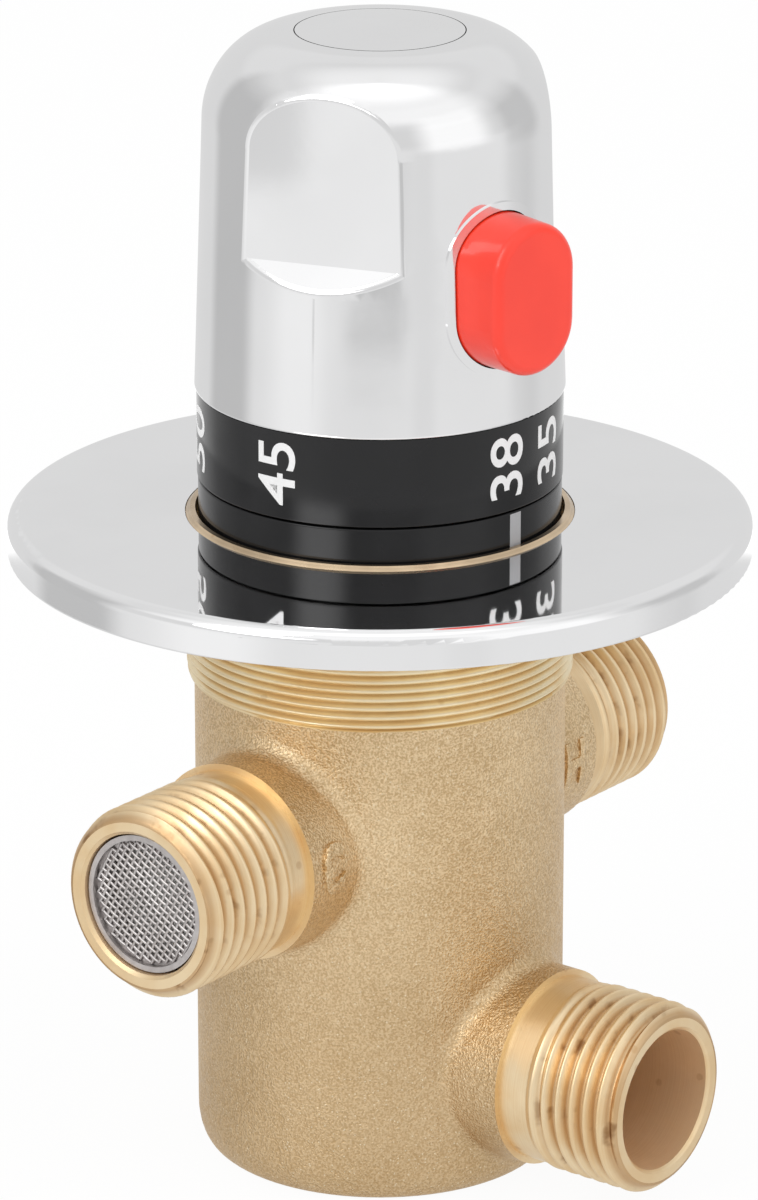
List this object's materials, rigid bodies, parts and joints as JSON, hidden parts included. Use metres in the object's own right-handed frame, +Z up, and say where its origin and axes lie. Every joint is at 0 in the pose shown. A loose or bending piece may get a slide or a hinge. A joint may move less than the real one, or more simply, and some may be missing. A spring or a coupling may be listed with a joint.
{
  "type": "thermostatic shower mixer",
  "caption": "Brass shower mixer body with threaded ports, a round chrome wall plate and a chrome temperature knob with a red override button.",
  "frame": {"origin": "centre of the flat bottom of the body, on the knob's axis", "axes": "+Z up along the knob's axis, -X out of the cold inlet, +X out of the hot inlet, -Y out of the mixed outlet"},
  "size_m": [0.0824, 0.0804, 0.1264],
  "materials": {
    "cast_brass": "sand cast, with turned threads",
    "turned_brass": "turned",
    "chrome": "polished plating",
    "black_plastic": "semi-gloss",
    "red_plastic": "gloss",
    "white_plastic": "moulded",
    "steel": "bright wire and turned steel",
    "strainer_steel": "satin rim and woven wire",
    "copper": "copper capsule",
    "rubber": "moulded"
  },
  "bodies": {
    "body": {"valve_body": "cast_brass", "wall_plate": "chrome", "index_ring": "black_plastic", "cartridge_head": "turned_brass", "stop_ring": "white_plastic", "cartridge_sleeve": "turned_brass", "lower_seal": "rubber", "middle_seal": "rubber", "upper_seal": "rubber", "spring_retainer": "turned_brass", "return_spring": "steel", "cold_check_housing": "white_plastic", "cold_check_seal": "rubber", "cold_check_spring": "steel", "cold_strainer_rim": "strainer_steel", "cold_strainer_mesh": "strainer_steel", "hot_check_housing": "white_plastic", "hot_check_seal": "rubber", "hot_check_spring": "steel", "hot_strainer_rim": "strainer_steel", "hot_strainer_mesh": "strainer_steel"},
    "knob": {"knob_shell": "chrome", "knob_cap": "chrome", "knob_screw": "steel", "scale_ring": "black_plastic", "spindle": "turned_brass", "spindle_clip": "steel", "spindle_seal": "rubber", "button_spring": "steel"},
    "button": {"override_button": "red_plastic"},
    "regulator": {"adjuster_nut": "turned_brass", "overload_clip": "steel", "overload_cup": "steel", "overload_spring": "steel", "shuttle": "turned_brass", "shuttle_seal": "rubber", "wax_capsule": "copper", "wax_piston": "steel"},
    "cold_poppet": {"cold_check_poppet": "white_plastic"},
    "hot_poppet": {"hot_check_poppet": "white_plastic"}
  },
  "joints": [
    {"name": "knob_turn", "type": "hinge", "parent": "body", "child": "knob", "pos_m": [0, 0, 0.08], "axis": [0, 0, 1], "range_deg": [-125, 121]},
    {"name": "button_press", "type": "slide", "parent": "knob", "child": "button", "axis": [0.2045, 0.9789, 0], "range_m": [0, 0.0025], "stiffness_N_per_m": 1200, "springref_m": -0.001, "deforming": ["button_spring"]},
    {"name": "regulator_slide", "type": "slide", "parent": "body", "child": "regulator", "axis": [0, 0, 1], "range_m": [-0.00056, 0.00056], "deforming": ["return_spring"]},
    {"name": "cold_check_open", "type": "slide", "parent": "body", "child": "cold_poppet", "axis": [1, 0, 0], "range_m": [0, 0.003], "stiffness_N_per_m": 60, "springref_m": -0.002, "deforming": ["cold_check_spring"]},
    {"name": "hot_check_open", "type": "slide", "parent": "body", "child": "hot_poppet", "axis": [-1, 0, 0], "range_m": [0, 0.003], "stiffness_N_per_m": 60, "springref_m": -0.002, "deforming": ["hot_check_spring"]}
  ],
  "couplings": [
    {"joint": "regulator_slide", "follows": "knob_turn", "m_per_rad": 0.00023873}
  ]
}
